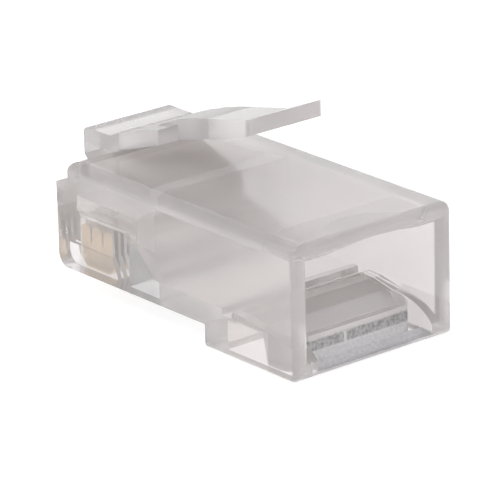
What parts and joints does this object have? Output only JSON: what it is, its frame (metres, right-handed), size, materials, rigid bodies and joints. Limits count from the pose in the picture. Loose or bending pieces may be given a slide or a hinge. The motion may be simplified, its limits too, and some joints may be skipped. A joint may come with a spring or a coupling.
{
  "type": "rj45 modular plug",
  "caption": "Clear eight-way modular plug, uncrimped: moulded housing with flexing latch, open cable mouth, clamp bars and gold contact blades.",
  "frame": {"origin": "middle of the footprint at the level of the rear section's underside", "axes": "+Y towards the nose (the way the plug enters a jack), +Z towards the latch side, +X across the width"},
  "size_m": [0.0116, 0.0222, 0.0128],
  "materials": {
    "clear_polycarbonate": "clear, slightly milky, polished",
    "gold_plated_bronze": "polished gold plate"
  },
  "bodies": {
    "plug_body": {"housing": "clear_polycarbonate"},
    "latch": {"latch_lever": "clear_polycarbonate"},
    "jacket_clamp": {"jacket_clamp_bar": "clear_polycarbonate"},
    "conductor_clamp": {"conductor_clamp_bar": "clear_polycarbonate"},
    "contact_1_body": {"contact_1": "gold_plated_bronze"},
    "contact_2_body": {"contact_2": "gold_plated_bronze"},
    "contact_3_body": {"contact_3": "gold_plated_bronze"},
    "contact_4_body": {"contact_4": "gold_plated_bronze"},
    "contact_5_body": {"contact_5": "gold_plated_bronze"},
    "contact_6_body": {"contact_6": "gold_plated_bronze"},
    "contact_7_body": {"contact_7": "gold_plated_bronze"},
    "contact_8_body": {"contact_8": "gold_plated_bronze"}
  },
  "joints": [
    {"name": "latch_press", "type": "hinge", "parent": "plug_body", "child": "latch", "pos_m": [0, 0.00857, 0.0081], "axis": [1, 0, 0], "range_deg": [0, 14], "stiffness_Nm_per_rad": 0.1},
    {"name": "jacket_clamp_fold", "type": "hinge", "parent": "plug_body", "child": "jacket_clamp", "pos_m": [0, -0.01015, 0.0005], "axis": [1, 0, 0], "range_deg": [0, 14]},
    {"name": "conductor_clamp_fold", "type": "hinge", "parent": "plug_body", "child": "conductor_clamp", "pos_m": [0, 0.00173, 0.00248], "axis": [1, 0, 0], "range_deg": [0, 12]},
    {"name": "contact_1_crimp", "type": "slide", "parent": "plug_body", "child": "contact_1_body", "axis": [0, 0, 1], "range_m": [0, 0.00057]},
    {"name": "contact_2_crimp", "type": "slide", "parent": "plug_body", "child": "contact_2_body", "axis": [0, 0, 1], "range_m": [0, 0.00057]},
    {"name": "contact_3_crimp", "type": "slide", "parent": "plug_body", "child": "contact_3_body", "axis": [0, 0, 1], "range_m": [0, 0.00057]},
    {"name": "contact_4_crimp", "type": "slide", "parent": "plug_body", "child": "contact_4_body", "axis": [0, 0, 1], "range_m": [0, 0.00057]},
    {"name": "contact_5_crimp", "type": "slide", "parent": "plug_body", "child": "contact_5_body", "axis": [0, 0, 1], "range_m": [0, 0.00057]},
    {"name": "contact_6_crimp", "type": "slide", "parent": "plug_body", "child": "contact_6_body", "axis": [0, 0, 1], "range_m": [0, 0.00057]},
    {"name": "contact_7_crimp", "type": "slide", "parent": "plug_body", "child": "contact_7_body", "axis": [0, 0, 1], "range_m": [0, 0.00057]},
    {"name": "contact_8_crimp", "type": "slide", "parent": "plug_body", "child": "contact_8_body", "axis": [0, 0, 1], "range_m": [0, 0.00057]}
  ],
  "couplings": [
    {"joint": "contact_2_crimp", "follows": "contact_1_crimp", "ratio": 1},
    {"joint": "contact_3_crimp", "follows": "contact_1_crimp", "ratio": 1},
    {"joint": "contact_4_crimp", "follows": "contact_1_crimp", "ratio": 1},
    {"joint": "contact_5_crimp", "follows": "contact_1_crimp", "ratio": 1},
    {"joint": "contact_6_crimp", "follows": "contact_1_crimp", "ratio": 1},
    {"joint": "contact_7_crimp", "follows": "contact_1_crimp", "ratio": 1},
    {"joint": "contact_8_crimp", "follows": "contact_1_crimp", "ratio": 1}
  ]
}
